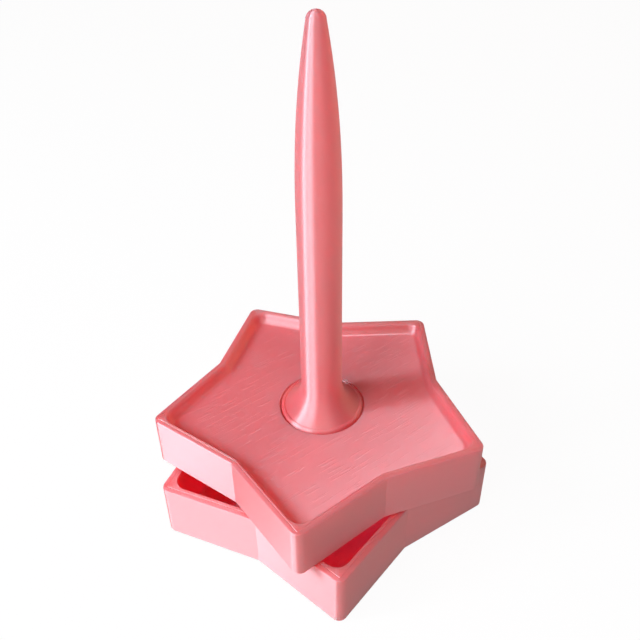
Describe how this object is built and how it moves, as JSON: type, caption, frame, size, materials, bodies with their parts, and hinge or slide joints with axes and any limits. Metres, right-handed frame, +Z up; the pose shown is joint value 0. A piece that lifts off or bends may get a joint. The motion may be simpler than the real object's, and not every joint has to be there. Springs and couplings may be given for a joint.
{
  "type": "yarn ball holder",
  "caption": "Star-shaped tray that turns on an open star-shaped cup, with a tall tapered post on a flared foot that carries a ball of yarn as it unwinds.",
  "frame": {"origin": "on the table, at the middle of the grip pad's underside, under the axis on which the upper star turns", "axes": "+Z up along the post, -Y towards the lower star's front tip, +X to the right of it as seen from the front"},
  "size_m": [0.1545, 0.1524, 0.2364],
  "materials": {
    "silk_plastic": "pink printed plastic with a silky sheen",
    "pad_rubber": "matt",
    "insert_brass": "turned",
    "plain_steel": "zinc plated",
    "bearing_steel": "ground and polished",
    "cage_nylon": "moulded"
  },
  "bodies": {
    "base": {"base_tray": "silk_plastic", "grip_pad": "pad_rubber", "thread_insert": "insert_brass", "shim_ring_lower": "plain_steel", "shim_ring_upper": "plain_steel", "axle_bolt": "plain_steel", "bearing_inner_race": "bearing_steel"},
    "turntable": {"turntable_tray": "silk_plastic", "bearing_outer_race": "bearing_steel", "bearing_shield_upper": "plain_steel", "bearing_shield_lower": "plain_steel"},
    "cage": {"bearing_cage": "cage_nylon", "bearing_ball_1": "bearing_steel", "bearing_ball_2": "bearing_steel", "bearing_ball_3": "bearing_steel", "bearing_ball_4": "bearing_steel", "bearing_ball_5": "bearing_steel", "bearing_ball_6": "bearing_steel", "bearing_ball_7": "bearing_steel"},
    "post": {"post": "silk_plastic"}
  },
  "joints": [
    {"name": "tray_spin", "type": "hinge", "parent": "base", "child": "turntable", "pos_m": [0, 0, 0.0319], "axis": [0, 0, 1], "continuous": true},
    {"name": "cage_spin", "type": "hinge", "parent": "base", "child": "cage", "pos_m": [0, 0, 0.0354], "axis": [0, 0, 1], "continuous": true},
    {"name": "post_lift", "type": "slide", "parent": "turntable", "child": "post", "axis": [0, 0, 1], "range_m": [0, 0.04]}
  ],
  "couplings": [
    {"joint": "cage_spin", "follows": "tray_spin", "ratio": 0.6323}
  ]
}
